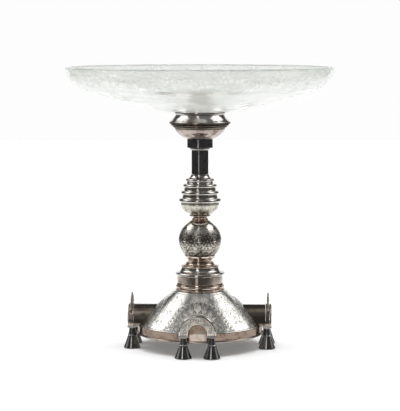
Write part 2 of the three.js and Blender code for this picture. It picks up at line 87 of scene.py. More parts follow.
def noise(tree, place, size, **settings):
    # an uneven pattern with features of about size millimetres
    return addNode(tree, "TexNoise", {"Vector": place, "Scale": 1 / (size * mm), **settings}).outputs[0]


def mixColour(tree, share, first, second):
    return addNode(tree, "Mix", {"data_type": "RGBA", 0: share, 6: first, 7: second}).outputs[2]


def painted(tree, name):
    # a value that the script writes at each point of a piece
    return addNode(tree, "Attribute", {"attribute_name": name}).outputs["Fac"]


def newMaterial(name):
    material = bpy.data.materials.new(name)
    material.use_nodes = True
    tree = material.node_tree
    tree.nodes.clear()
    return material, tree, addNode(tree, "TexCoord").outputs["Object"]


def bend(start, towards, end, steps):
    # points on a curve from start to end that leans towards a third point
    points = []
    for i in range(steps + 1):
        t = i / steps
        points.append(tuple((1 - t) ** 2 * a + 2 * t * (1 - t) * b + t * t * c
                            for a, b, c in zip(start, towards, end)))
    return points


def arc(centre, reach, start, end, steps):
    # points on a circle, or on an ellipse that reaches differently across and up
    across, up = reach
    angles = [start + (end - start) * i / steps for i in range(steps + 1)]
    return [(centre[0] + across * cos(a), centre[1] + up * sin(a)) for a in angles]


def roundBead(radius, height, thickness, steps=8):
    # a half-round bead standing out to a radius, listed upwards
    half = thickness / 2
    return arc((radius - half, height), (half, half), -quarter, quarter, steps)


def wallInside(side, thickness):
    # a side moved inwards by the wall's thickness, listed from its end back to its start
    moved = []
    for i, (r, z) in enumerate(side):
        before, after = side[max(i - 1, 0)], side[min(i + 1, len(side) - 1)]
        dr, dz = after[0] - before[0], after[1] - before[1]
        length = hypot(dr, dz)
        moved.append((r - dz / length * thickness, z + dr / length * thickness))
    return moved[::-1]


def offMiddle(x, y, repeat):
    # angle of a place from the middle of the nearest of some repeats about the axis
    return (atan2(y, x) + repeat / 2) % repeat - repeat / 2


# Materials: patterns are sized in millimetres, and commonFinish holds what a finish doesn't name itself

commonFinish = {
    "roughness": (0.10, 0.20), "metallic": 1.0, "spotSize": 0.9, "spotShare": 0.60, "grain": 0.8, "stretch": 0.12,
    "bump": 0.06, "mattRough": 0.16, "mattBump": 0.35,
}
silverFinishes = {
    # electroplated silver on nickel silver, polished and handled: bright, with a faint warm film of tarnish
    "polishedSilver": {
        "slot": "silver", "bright": "#dddad5", "dull": "#b6a99c", "spots": "#5f5349", "patch": 14,
        "roughness": (0.09, 0.20), "spotSize": 1.1, "spotShare": 0.63, "grain": 0.9, "bump": 0.05,
    },
    # the same plate rubbed thin, so that the copper-toned metal below shines through in clouds; also painted shade on
    # the side faces of the archivolts
    "wornSilverAndEdgeShade": {
        "slot": "worn_silver", "bright": "#bfb2a7", "dull": "#8f8073", "spots": "#4a3d34", "patch": 11,
        "spotSize": 1.0, "spotShare": 0.62,
    },
    # plate rubbed down to the copper under the bowl, where hands carry the stand: cloudy and pinkish
    "rubbedSilver": {
        "slot": "worn_silver", "bright": "#bfb2aa", "dull": "#73625c", "spots": "#4a3d34", "patch": 7,
        "spotSize": 1.0, "spotShare": 0.62,
    },
    # plate browned by age and polished again: a warm mirror
    "brownedSilver": {
        "slot": "worn_silver", "bright": "#dfd1c4", "dull": "#b7a492", "spots": "#40362e", "patch": 8,
        "spotSize": 1.0, "bump": 0.05,
    },
    # plate smoked brown by tarnish, with lighter rubbed streaks; also painted shade on the side faces of the crestings
    "smokedSilverAndEdgeShade": {
        "slot": "dark_silver", "bright": "#857b70", "dull": "#564d44", "spots": "#2b251f", "patch": 6,
        "roughness": (0.12, 0.24), "spotSize": 0.8, "spotShare": 0.62,
    },
    # plate that has gone dark and was polished again: a deep mirror
    "darkSilver": {
        "slot": "dark_silver", "bright": "#989796", "dull": "#767473", "spots": "#343232", "patch": 9,
        "roughness": (0.08, 0.18), "spotSize": 0.8, "spotShare": 0.64, "grain": 0.7, "bump": 0.05,
    },
    # plate cut with a graver: the cuts are matt and hold polish residue
    "engravedSilver": {
        "slot": "engraved_silver", "bright": "#d6d2c8", "dull": "#bcb2a3", "spots": "#5a4f45", "patch": 6,
        "roughness": (0.12, 0.24), "grain": 0.9, "cuts": "#2b2621", "cutShare": 0.78,
    },
    # flat plate matted all over between the cuts, with white polish dried in: paler and softer
    "mattedSilver": {
        "slot": "engraved_silver", "bright": "#e6e1d7", "dull": "#cbc3b6", "spots": "#5a4f45", "patch": 5,
        "roughness": (0.18, 0.30), "metallic": 0.75, "grain": 0.9, "cuts": "#332d27", "cutShare": 0.85,
    },
    # the wide foot, raised with a hammer and polished down the slope: creamy white with a fine soft grain
    "hammeredSilver": {
        "slot": "engraved_silver", "bright": "#e6e5df", "dull": "#c6c1b7", "spots": "#5f584e", "patch": 4,
        "roughness": (0.12, 0.21), "spotShare": 0.63, "grain": 1.0, "polishedDown": 60, "bump": 0.16,
        "cuts": "#2d2922", "cutShare": 0.66, "mattRough": 0.12, "mattBump": 0.45,
    },
    # cast and chased silver, tumbled smooth: satin rather than a mirror
    "castSilver": {
        "slot": "silver", "bright": "#eeeae2", "dull": "#cdc5b8", "spots": "#453c31", "patch": 4,
        "roughness": (0.32, 0.46), "metallic": 0.6, "spotSize": 0.8, "spotShare": 0.58, "grain": 0.7,
        "stretch": 1.0, "bump": 0.12,
    },
    # the copper-toned band round the foot, polished through the plate
    "copperBand": {
        "slot": "worn_silver", "bright": "#9a897b", "dull": "#65554b", "spots": "#382b25", "patch": 7,
        "roughness": (0.14, 0.28), "grain": 0.7, "bump": 0.07,
    },
    # painted light: a pale matt gold that stands in for the light the white table throws up into the recesses under the
    # vaults
    "paintedRecessLight": {
        "slot": "worn_silver", "bright": "#fff0e0", "dull": "#e8c6a5", "spots": "#8f6f55", "patch": 4,
        "roughness": (0.34, 0.48), "metallic": 0.2, "spotSize": 1.3, "spotShare": 0.58, "grain": 0.9,
        "stretch": 1.0, "bump": 0.12,
    },
}


def silverMaterial(name):
    finish = {**commonFinish, **silverFinishes[name]}
    material, tree, place = newMaterial(name)
    film = ramp(tree, noise(tree, place, finish["patch"], Detail=4.0, Roughness=0.6, Distortion=0.4), 0.42, 0.72)
    specks = noise(tree, place, finish["spotSize"], Detail=3.0, Roughness=0.7)
    spots = ramp(tree, specks, finish["spotShare"], finish["spotShare"] + 0.12)
    colour = mixColour(tree, film, hexLinear(finish["bright"]), hexLinear(finish["dull"]))
    colour = mixColour(tree, spots, colour, hexLinear(finish["spots"]))
    rough = ramp(tree, film, 0, 1, *finish["roughness"], "LINEAR")
    # lathe rings and polishing marks, nearly level, or a hammer's dapple: drawn as wide as they need to show
    if "polishedDown" in finish:
        apart = addNode(tree, "SeparateXYZ", {0: place}).outputs
        turn = calc(tree, "ARCTAN2", apart[0], calc(tree, "MULTIPLY", apart[1], -1.0))
        stretched = addNode(tree, "CombineXYZ", {0: calc(tree, "MULTIPLY", turn, finish["polishedDown"] * mm),
                                                 1: calc(tree, "MULTIPLY", apart[2], 0.15)})
    else:
        level = finish["stretch"]
        stretched = addNode(tree, "Mapping", {"Scale": (level, level, 1.0), "Vector": place})
    lines = noise(tree, stretched, finish["grain"], Detail=3.0, Roughness=0.65)
    bump = {"Strength": finish["bump"], "Distance": 0.4 * mm, "Height": lines}
    if "cuts" in finish:
        # 0 is plain, 0.25 is ground matted with a punch, and 1 is the bottom of a cut
        cut = painted(tree, "engraving")
        share = ramp(tree, cut, 0.3, 0.8, 0.0, finish["cutShare"])
        colour = mixColour(tree, share, colour, hexLinear(finish["cuts"]))
        matted = ramp(tree, cut, 0.0, 0.2, kind="LINEAR")
        rough = calc(tree, "MULTIPLY_ADD", matted, finish["mattRough"], rough)
        # punch marks are under 0.5 mm, drawn at 0.8 mm to show
        marks = calc(tree, "MULTIPLY", noise(tree, place, 0.8, Detail=1.0), matted)
        bump["Normal"] = addNode(tree, "Bump", {
            "Strength": finish["mattBump"], "Distance": 0.5 * mm, "Height": marks})
    shader = addNode(tree, "BsdfPrincipled", {
        "Metallic": finish["metallic"], "Base Color": colour, "Roughness": rough,
        "Normal": addNode(tree, "Bump", bump)})
    addNode(tree, "OutputMaterial", {"Surface": shader})
    return material


glassFinish = {
    "body": "#f7f9f6",  # faint green of old soda glass
    "haze": ("#e6eae4", "#f1f3ef"),  # years of washing have left it milky, in soft level streaks
    "hazeShare": (0.17, 0.34),
    "frost": "#f6f8f4",  # the matt, whitish look of etched lines and ground faces
    "frostShare": 0.16,
    "ior": 1.5,
    "roughness": 0.03,
    # painted shade: the top of the rim takes this darker colour, for its look along the sheet
    "edge": "#bcc4be",  # the rim is seen along the sheet and so is darker
    "underside": (0.15, 26, 104),  # added roughness of the finely etched underside, between two radii in mm
    "wave": 22,  # slow unevenness of blown glass
    "waveBump": 0.12,
    "streak": 9,
}


def glassMaterial():
    material, tree, place = newMaterial("blownGlass")
    waves = noise(tree, place, glassFinish["wave"], Detail=2.0, Roughness=0.5, Distortion=0.6)
    bump = addNode(tree, "Bump", {"Strength": glassFinish["waveBump"], "Distance": 0.8 * mm, "Height": waves})
    drawn = addNode(tree, "Mapping", {"Scale": (0.25, 0.25, 1.6), "Vector": place})
    streaks = noise(tree, drawn, glassFinish["streak"], Detail=3.0, Roughness=0.55, Distortion=0.5)
    mask = ramp(tree, streaks, 0.38, 0.66)
    rough = calc(tree, "MULTIPLY_ADD", painted(tree, "underside"), glassFinish["underside"][0],
                 glassFinish["roughness"])
    # painted shade: the rim's top takes the darker edge colour
    tint = mixColour(tree, painted(tree, "edge"), hexLinear(glassFinish["body"]), hexLinear(glassFinish["edge"]))
    clear = addNode(tree, "BsdfPrincipled", {
        "IOR": glassFinish["ior"], "Transmission Weight": 1.0, "Base Color": tint, "Normal": bump, "Roughness": rough})
    hazeColour = mixColour(tree, mask, *[hexLinear(code) for code in glassFinish["haze"]])
    haze = addNode(tree, "MixShader", {0: 0.5, 1: addNode(tree, "BsdfDiffuse", {"Color": hazeColour}),
                                       2: addNode(tree, "BsdfTranslucent", {"Color": hazeColour})})
    hazeShare = ramp(tree, mask, 0, 1, *glassFinish["hazeShare"], "LINEAR")
    milky = addNode(tree, "MixShader", {0: hazeShare, 1: clear, 2: haze})
    frosted = addNode(tree, "BsdfDiffuse", {"Color": hexLinear(glassFinish["frost"])})
    share = calc(tree, "MULTIPLY", painted(tree, "engraving"), glassFinish["frostShare"])
    mixed = addNode(tree, "MixShader", {0: share, 1: milky, 2: frosted})
    addNode(tree, "OutputMaterial", {"Surface": mixed})
    return material


def corkMaterial():
    # pressed bark cork: matt, light brown, with darker pores about 1 mm across
    material, tree, place = newMaterial("cork")
    pores = noise(tree, place, 1.2, Detail=4.0)
    mask = ramp(tree, pores, 0.45, 0.6, kind="LINEAR")
    shader = addNode(tree, "BsdfPrincipled", {
        "Roughness": 0.85, "Base Color": mixColour(tree, mask, hexLinear("#b98f5f"), hexLinear("#7a5534")),
        "Normal": addNode(tree, "Bump", {"Strength": 0.5, "Distance": 0.3 * mm, "Height": pores})})
    addNode(tree, "OutputMaterial", {"Surface": shader})
    return material


def steelMaterial():
    # plain turned and threaded steel, greyed by age
    material, tree, place = newMaterial("turnedSteel")
    stains = noise(tree, place, 3, Detail=4.0)
    shader = addNode(tree, "BsdfPrincipled", {
        "Metallic": 1.0, "Base Color": mixColour(tree, stains, hexLinear("#8f8d8a"), hexLinear("#5e554c")),
        "Roughness": ramp(tree, stains, 0, 1, 0.3, 0.5, "LINEAR")})
    addNode(tree, "OutputMaterial", {"Surface": shader})
    return material


finishes = {name: silverMaterial(name) for name in silverFinishes}
finishes.update({"glass": glassMaterial(), "cork": corkMaterial(), "steel": steelMaterial()})
slots = {name: finish["slot"] for name, finish in silverFinishes.items()}
slots.update({"glass": "glass", "cork": "cork"})
print("materials made")


# Engraving: strokes drawn flat in millimetres, then found again from each point of a surface

def spiral(centre, radius, turns, start, hand):
    # a scroll that winds inwards from its outer end
    count = int(26 * turns)
    points = []
    for i in range(count + 1):
        t = i / count
        reach = radius * (1 - 0.85 * t)
        angle = start + hand * 2 * pi * turns * t
        points.append((centre[0] + reach * cos(angle), centre[1] + reach * sin(angle)))
    return points


def leafAt(base, angle, length, curl):
    # both edges of a small leaf that grows from a point
    tip = (base[0] + length * cos(angle), base[1] + length * sin(angle))
    strokes = []
    for side in (-1, 1):
        out = angle + side * 0.7 + curl
        belly = (base[0] + 0.62 * length * cos(out), base[1] + 0.62 * length * sin(out))
        strokes.append(bend(base, belly, tip, 6))
    return strokes


def scrollWithLeaves(centre, radius, turns, start, hand, leaves):
    strokes = [spiral(centre, radius, turns, start, hand)]
    for i in range(leaves):
        share = (i + 0.5) / leaves * 0.85
        angle = start + hand * 2 * pi * share
        reach = radius * (1 - 0.85 * share / turns)
        base = (centre[0] + reach * cos(angle), centre[1] + reach * sin(angle))
        strokes += leafAt(base, angle + hand * 0.9, 0.55 * radius, 0.2 * hand)
    return strokes


def wave(length, middle, swing, steps):
    # a stem that waves once along a length
    return [(length * i / steps, middle + swing * sin(2 * pi * i / steps)) for i in range(steps + 1)]


def strokeTree(strokes, spacing=0.15):
    points = []
    for stroke in strokes:
        for (x0, y0), (x1, y1) in zip(stroke, stroke[1:]):
            steps = max(1, int(hypot(x1 - x0, y1 - y0) / spacing))
            points += [(x0 + (x1 - x0) * i / steps, y0 + (y1 - y0) * i / steps, 0) for i in range(steps)]
    tree = KDTree(len(points))
    for i, point in enumerate(points):
        tree.insert(point, i)
    tree.balance()
    return tree


def cutsOf(tree, width, ground=0):
    # how deep the graver went at a flat place, with matted ground within a distance of each cut;
    # repeats of a pattern are looked up only once
    known = {}

    def depth(u, v):
        place = (round(u, 2), round(v, 2))
        if place not in known:
            distance = tree.find((*place, 0))[2]
            known[place] = max(0.25 if distance < ground else 0.0, min(1.0, 1.5 - distance / (width / 2)))
        return known[place]

    return depth


def ringsAt(v, levels, width):
    # fine lines cut all round at some levels
    return max(max(0.0, 1 - abs(v - level) / width) for level in levels)


def engrave(piece, depthAt, sink):
    # writes how deep the graver went at each point, and sinks the surface there
    mesh = piece.data
    attribute = mesh.attributes.new("engraving", "FLOAT", "POINT")
    depths = [depthAt(v.co / mm) for v in mesh.vertices]
    normals = [v.normal.copy() for v in mesh.vertices]
    attribute.data.foreach_set("value", depths)
    for vertex, normal, depth in zip(mesh.vertices, normals, depths):
        if depth > 0:
            vertex.co -= normal * depth * sink * mm
    mesh.update()


# Turned and swept pieces

def makePiece(bm, name, finish, nodes, body="stand", smoothAngle=35):
    mesh = bpy.data.meshes.new(name)
    for face in bm.faces:
        face.smooth = True
    bm.to_mesh(mesh)
    bm.free()
    mesh.set_sharp_from_angle(angle=radians(smoothAngle))
    piece = bpy.data.objects.new(name, mesh)
    scene.collection.objects.link(piece)
    mesh.materials.append(finishes[finish])
    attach(piece, body)
    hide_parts(*nodes)
    return piece


def withSupports(points, reach):
    # extra points beside each corner, so that the smooth shading of its edge stays near it
    closed = points[0][0] != 0
    out = []
    for i, point in enumerate(points):
        if not closed and i in (0, len(points) - 1):
            out.append(point)
            continue
        here = Vector(point)
        before, after = Vector(points[i - 1]) - here, Vector(points[(i + 1) % len(points)]) - here
        corner = pi - before.angle(after) > cornerTurn
        if corner and before.length > 2.2 * reach:
            out.append(tuple(here + before.normalized() * reach))
        out.append(point)
        if corner and after.length > 2.2 * reach:
            out.append(tuple(here + after.normalized() * reach))
    return out


def spinProfile(bm, points, steps, edge, bottom=0):
    # rounds the corners of an outline by edge, then turns it a full circle about the axis
    corner = Vector((0, 0, bottom))
    if edge:
        points = withSupports(points, 2.2 * edge)
    ring = [bm.verts.new(corner + Vector((r * mm, 0, z * mm))) for r, z in points]
    pairs = list(zip(ring, ring[1:]))
    if points[0][0] != 0:
        pairs.append((ring[-1], ring[0]))
    for pair in pairs:
        bm.edges.new(pair)
    sharp = []
    for vertex in ring:
        if len(vertex.link_edges) == 2:
            a, b = [e.other_vert(vertex).co - vertex.co for e in vertex.link_edges]
            if pi - a.angle(b) > cornerTurn:
                sharp.append(vertex)
    if edge and sharp:
        bmesh.ops.bevel(bm, geom=sharp, offset=edge * mm, offset_type="OFFSET", segments=3, profile=0.5,
                        affect="VERTICES", clamp_overlap=True, material=-1)
    bmesh.ops.spin(bm, geom=bm.verts[:] + bm.edges[:], cent=corner, axis=(0, 0, 1), dvec=(0, 0, 0),
                   angle=2 * pi, steps=steps, use_merge=True, use_duplicate=False)
    bmesh.ops.remove_doubles(bm, verts=bm.verts, dist=1e-6)
    bmesh.ops.recalc_face_normals(bm, faces=bm.faces)


def turnPiece(node, points, finish, steps=96, edge=0.25):
    bm = bmesh.new()
    spinProfile(bm, points, steps, edge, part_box(node)[0].z)
    print("turned", node, len(bm.faces))
    return makePiece(bm, node + "_turned", finish, [node])


# Glass dish

dish = {
    "radius": 127, "height": 41.5, "flatRadius": 34, "ring": (41, 1.4), "wallStart": (104, 18.6),
    "wallBend": (121, 23), "slope": 0.273, "thickness": 3.2, "peg": 16.5, "pegEdge": 0.8, "pegLength": 14,
    "bandLow": 22, "bandHigh": 37.5, "repeats": 15, "stroke": 1.1, "steps": 300, "cuts": 3, "shoulder": 1,
}


def dishProfile():
    peg, edge, length = dish["peg"], dish["pegEdge"], dish["pegLength"]
    (ringRadius, ringHeight), (wallRadius, wallHeight) = dish["ring"], dish["wallStart"]
    straight = [(ringRadius + (wallRadius - ringRadius) * i / 14, ringHeight + (wallHeight - ringHeight) * i / 14)
                for i in range(14)]
    shoulder = dish["height"] - dish["shoulder"]
    underside = straight + bend(dish["wallStart"], dish["wallBend"], (dish["radius"], shoulder), 44)
    inside = wallInside(underside, dish["thickness"])[1:]
    half = dish["thickness"] / 2
    rim = arc((dish["radius"] - half, shoulder), (half, dish["shoulder"]), 0, pi, 8)[1:]
    outline = [(0, -length), (peg - edge, -length), (peg, -length + edge), (peg, -1.2), (peg + 1.2, 0),
               (dish["flatRadius"], 0), *underside, *rim, *inside, (dish["flatRadius"] - 1, dish["thickness"]),
               (0, dish["thickness"])]
    return [(r, z + length) for r, z in outline]


def dishPattern():
    # one repeat of the etched band: a wavy stem with two scrolls, leaf sprays and a flower
    width = 2 * pi * dish["radius"] / dish["repeats"]
    middle = (dish["bandLow"] + dish["bandHigh"]) / 2
    strokes = [wave(width, middle, 4.2, 60)]
    for place, hand in ((0.25, -1), (0.75, 1)):
        strokes += scrollWithLeaves((place * width, middle + 1.6 * hand), 6.2, 1.3, -1.4 * hand, hand, 6)
    for i in range(6):
        strokes += leafAt((0.5 * width, middle), i * pi / 3, 4.2, 0)
    for x, angle in ((0.05, 1.1), (0.12, -1.2), (0.42, -0.9), (0.58, 2.2), (0.9, -2.0), (0.97, 0.7)):
        strokes += leafAt((x * width, middle), angle, 5.5, 0.2)
    return cutsOf(strokeTree(strokes), dish["stroke"]), width


def makeDish():
    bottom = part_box("glass_dish")[0].z
    bm = bmesh.new()
    spinProfile(bm, dishProfile(), dish["steps"], 0, bottom)
    floor = bottom / mm + dish["pegLength"]

    def etched(co):
        height = co.z / mm - floor
        outside = hypot(co.x, co.y) / mm > dish["wallStart"][0] + (height - 17) * 0.7
        return outside and dish["bandLow"] - 2 < height < dish["bandHigh"] + 2

    around = [e for e in bm.edges if abs(e.verts[0].co.z - e.verts[1].co.z) < 1e-6 and etched(e.verts[0].co)]
    bmesh.ops.subdivide_edges(bm, edges=around, cuts=dish["cuts"], use_grid_fill=True)
    # the new points go out from the chord to the circle
    step = 2 * pi / dish["steps"]
    for vertex in bm.verts:
        if etched(vertex.co):
            away = atan2(vertex.co.y, vertex.co.x) % step - step / 2
            vertex.co.xy *= cos(away) / cos(step / 2)
    print("dish turned", len(bm.faces))
    piece = makePiece(bm, "glass_dish_blown", "glass", ["glass_dish"], "dish")
    cuts, width = dishPattern()

    def depthAt(co):
        height = co.z - floor
        if not etched(co * mm) or not dish["bandLow"] - 1 < height < dish["bandHigh"] + 1:
            return 0.0
        return cuts((atan2(co.y, co.x) % (2 * pi)) * dish["radius"] % width, height)

    engrave(piece, depthAt, sink=0)
    # clear glass takes too little from the daylight and from the metal's reflections to count
    piece.visible_diffuse = piece.visible_glossy = piece.visible_shadow = False
    inner, outer = glassFinish["underside"][1:]
    below, edge = [], []
    for vertex in piece.data.vertices:
        radius, height = vertex.co.xy.length / mm, vertex.co.z / mm - floor
        surface = dish["ring"][1] + (radius - dish["ring"][0]) * dish["slope"]
        below.append(1.0 if inner < radius < outer and height < max(surface, 0) + 0.6 else 0.0)
        # painted shade: the top 1.3 mm of the rim is marked for the darker edge colour
        edge.append(1.0 if height > dish["height"] - 1.3 else 0.0)
    for name, values in (("underside", below), ("edge", edge)):
        piece.data.attributes.new(name, "FLOAT", "POINT").data.foreach_set("value", values)


makeDish()
print("dish made")


# Socket under the dish

sheet = 1.5
bore = 2.8
socket = {
    "lip": [(17.1, 0), (23.2, 0), (23.6, 0.9), (24, 1.5), (24, 2.5), (23.6, 2.9), (17.1, 2.9)],
    "skirt": [(27.7, 0), (29.2, 0), (29.2, 0.8), *bend((28.9, 1.1), (25.6, 3.4), (23.4, 7.1), 8), (21.9, 7.1)],
    "flange": [(13, 0), (23.9, 0), (24.3, 1.2), *roundBead(25.9, 1.9, 1.1, 5), (25.6, 2.9),
               *roundBead(27.6, 3.5, 1.0, 5), (27.3, 4.3), (29, 4.8), (29, 5.5), (20.3, 5.5), (20.3, 1.3), (13, 1.3)],
    "bowl": bend((12.5, 0), (21.5, 3.5), (23.7, 9.3), 12),
}
turnPiece("socket_lip", socket["lip"], "polishedSilver", edge=0.15)
turnPiece("socket_skirt", socket["skirt"], "polishedSilver", edge=0.15)
turnPiece("socket_flange", socket["flange"], "smokedSilverAndEdgeShade", edge=0.12)
bowlInner = wallInside(socket["bowl"], sheet)[1:-1]
turnPiece("socket_bowl", [(bore, 0), *socket["bowl"], (22.2, 9.3), *bowlInner, (10.7, 1.8), (bore, 1.8)],
          "rubbedSilver", edge=0.1)
turnPiece("cork_sleeve", [(16.8, 0), (20, 0), (20, 11.3), (16.8, 11.3)], "cork", edge=0.4)

# Shaft

turnPiece("upper_drum", [(bore, 0), (12.2, 0), (12.2, 8.2), (10.7, 8.2), (10.7, 1.5), (bore, 1.5)], "darkSilver")
turnPiece("drum_ring", [(bore, 0), (8.6, 0), *roundBead(9.5, 0.85, 1.5), (8.6, 1.7), (bore, 1.7)],
          "polishedSilver", edge=0)
turnPiece("column_shaft", [(6.55, 0), (8.05, 0), (8.05, 22.7), (6.55, 22.7)], "darkSilver", edge=0.2)

# Ringed knop: each ring is a rounded bead over a deep cove, as (radius, height, neck above it, thickness)

knopRings = [(20, 2.3, 16.6, 4.2), (18, 9.5, 15, 3.7), (16.1, 16.1, 12.4, 3.3), (13.7, 21.4, 12.4, 2.5)]


def knopProfile():
    points = [(17.6, 0)]
    for i, (radius, height, neck, thickness) in enumerate(knopRings):
        points += roundBead(radius, height, thickness, 12)
        if i + 1 < len(knopRings):
            nextRadius, nextHeight, _, nextThickness = knopRings[i + 1]
            above, below = height + thickness / 2, nextHeight - nextThickness / 2
            points += bend((radius - thickness / 2 - 0.3, above), (neck - 0.2, above + 0.1), (neck, below - 0.6), 6)
            points.append((nextRadius - nextThickness / 2 - 0.4, below - 0.05))
    points += bend((12.3, 22.8), (9.25, 23.3), (8.35, 26.6), 8)
    return [*points, (bore, 26.6), (bore, 20.6), (9, 19.9), (14.2, 0)]


turnPiece("ringed_knop", knopProfile(), "polishedSilver", steps=128, edge=0)

cup = {"side": bend((9.9, 0), (16.6, 3.5), (18.2, 9.5), 12), "repeats": 8, "patternRadius": 16, "cutShare": 0.7}


def makeCup():
    outline = [(bore, 0), *cup["side"], *roundBead(18.4, 10.3, 1.5, 6), (18, 11.2), (16.4, 11.2),
               *wallInside(cup["side"], sheet)[1:-1], (8.4, 1.5), (bore, 1.5)]
    piece = turnPiece("knop_cup", outline, "engravedSilver", steps=240, edge=0)
    repeat = 2 * pi / cup["repeats"]
    cell = repeat * cup["patternRadius"]
    strokes = scrollWithLeaves((0.3 * cell, 6.4), 1.9, 1.3, 0.4, 1, 5)
    strokes += scrollWithLeaves((0.78 * cell, 5.6), 1.7, 1.3, 2.2, -1, 5)
    strokes.append(wave(cell, 5.8, 1.6, 20))
    cuts = cutsOf(strokeTree(strokes), 0.45)
    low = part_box("knop_cup")[0].z / mm

    def depthAt(co):
        height, radius = co.z - low, hypot(co.x, co.y)
        if not 2 < height < 9 or radius < max(10, 8.6 + height * 0.9):
            return 0.0
        return cup["cutShare"] * cuts((atan2(co.y, co.x) % repeat) * cup["patternRadius"], height)

    engrave(piece, depthAt, sink=0.06)


makeCup()
turnPiece("knop_ring", [(bore, 0), (9.5, 0), *roundBead(10.1, 0.65, 1.2, 6), (9.5, 1.3), (bore, 1.3)],
          "wornSilverAndEdgeShade", edge=0)

# Ball and what holds it

ball = {"radius": 20.1, "gap": 0.3, "repeats": 8, "boss": 1.8, "bossRise": 0.3, "bossLevel": 1,
        "beltRings": (9.6, 10.8, -7.2, -8.4), "ground": (-17, 9.6)}
fit = ball["radius"] + ball["gap"]
ballTurn = 2 * pi / ball["repeats"]


def ballArc(radius, fromRadius, toRadius, sign, steps):
    # points over or under the ball's middle, between two distances from the axis
    return arc((0, 0), (radius, sign * radius), acos(fromRadius / radius), acos(toRadius / radius), steps)


def lifted(points, lift):
    return [(r, z + lift) for r, z in points]


def ballPattern():
    cell = ballTurn * ball["radius"]
    middle, level = cell / 2, ball["bossLevel"]
    strokes = [arc((middle, level), (4.6, 5.4), 0, 2 * pi, 40), arc((middle, level), (1.3, 1.3), 0, 2 * pi, 16)]
    for i in range(8):
        angle = i * pi / 4
        strokes += leafAt((middle + 1.4 * cos(angle), level + 1.4 * sin(angle)), angle, 2.9, 0)
    for i in range(24):
        strokes += leafAt((cell * ((i * 0.618) % 1), 8.2 - 16.4 * i / 24), 2.4 * i, 1.6, 0)
    for x, start, hand in ((0.5, 0, 1), (cell - 0.5, pi, -1)):
        strokes += scrollWithLeaves((x, 3.6), 3.4, 1.4, start + 0.5 * hand, hand, 5)
        strokes += scrollWithLeaves((x, -2.6), 3.2, 1.4, start - 0.5 * hand, -hand, 5)
    for i in range(20):
        strokes += leafAt((cell * ((i * 0.618) % 1), -9.6 - 7 * ((i * 0.414) % 1)), 2.1 * i, 2.4, 0.1)
    return cutsOf(strokeTree(strokes), 0.75)


def makeBall():
    outer, inner = ball["radius"], ball["radius"] - sheet
    lowest = sqrt(outer ** 2 - bore ** 2)
    top, insideTop = acos(bore / outer), acos(bore / inner)
    points = arc((0, 0), (outer, outer), -top, top, 110) + arc((0, 0), (inner, inner), insideTop, -insideTop, 16)
    piece = turnPiece("ball_knop", lifted(points, lowest), "engravedSilver", steps=360, edge=0)
    centre = (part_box("ball_knop")[0].z / mm) + lowest
    cuts = ballPattern()

    def levelOf(co):
        # distance over the ball's equator, along its surface
        return asin(max(-1.0, min(1.0, (co.z - centre) / outer))) * outer

    def bossAway(co):
        # distance from the nearest boss, one where each four scrolls meet
        if hypot(co.x, co.y, co.z - centre) < outer - 0.5:
            return outer
        return hypot(offMiddle(co.x, co.y, ballTurn) * outer, levelOf(co) - ball["bossLevel"])

    def depthAt(co):
        away = bossAway(co)
        if away == outer or away < ball["boss"]:
            return 0.0
        if away < ball["boss"] + 0.5:
            return 1.0
        v = levelOf(co)
        u = (atan2(co.y, co.x) - 3 * quarter) % ballTurn * outer
        matted = 0.25 if ball["ground"][0] < v < ball["ground"][1] else 0.0
        return max(ringsAt(v, ball["beltRings"], 0.4), cuts(u, v), matted)

    engrave(piece, depthAt, sink=0.12)
    middle = Vector((0, 0, centre * mm))
    for vertex in piece.data.vertices:
        share = 1 - (bossAway(vertex.co / mm) / ball["boss"]) ** 2
        if share > 0:
            vertex.co += (vertex.co - middle).normalized() * ball["bossRise"] * share * mm


makeBall()
collar = 9.7
neckLow = sqrt(fit ** 2 - collar ** 2)
neckTiers = [(collar, neckLow + 0.25), (9.3, neckLow + 0.6), *bend((8.7, 18.7), (7.7, 18.9), (7.5, 19.7), 4),
             *roundBead(7.9, 20.2, 0.8, 5), (6.7, 20.9), (6.4, 21.5), *roundBead(6.9, 22.05, 0.7, 5)]
turnPiece("stem_neck", lifted([*ballArc(fit, bore, collar, 1, 10), *neckTiers, (bore, 22.4)], -neckLow),
          "brownedSilver", edge=0)
seatBottom = -(5.3 + fit)
cupEdge = sqrt(fit ** 2 - (seatBottom + 11.1) ** 2)
seatOutside = [(17.4, 0), *roundBead(18, 0.95, 1.5, 6), *bend((16.6, 2.1), (13, 2.5), (12.9, 4.9), 8),
               (12.1, 5.1), (11, 6.1), (11, 6.9), *bend((11.9, 7.2), (14.2, 8.2), (cupEdge + 0.7, 11.1), 6)]
turnPiece("ball_seat", [(bore, 0), *seatOutside, *lifted(ballArc(fit, cupEdge, bore, -1, 12), -seatBottom)],
          "brownedSilver", edge=0.1)

# Waist

turnPiece("stem_spreader", [(20.1, 0), (22.7, 0), (23.5, 0.7), (23.5, 2.3), (22.9, 2.9),
                            *bend((22.6, 3.1), (18, 3.9), (17.5, 7.5), 10), (bore, 7.5), (bore, 6), (16, 6),
                            (16, 3.1), (20.1, 2.3)], "polishedSilver", edge=0.15)
turnPiece("waist_collar", [(20.1, 0), (21.6, 0), (21.6, 7), (20.1, 7)], "wornSilverAndEdgeShade", edge=0.15)
turnPiece("waist_ring", [(18.6, 0), (22.7, 0), *roundBead(23.5, 0.85, 1.5, 6), (22.4, 1.9),
                         *roundBead(23.2, 3.7, 2.8), (22.2, 5.4), (21.9, 6.4), (18.6, 6.4)],
          "brownedSilver", edge=0)
print("stem made")
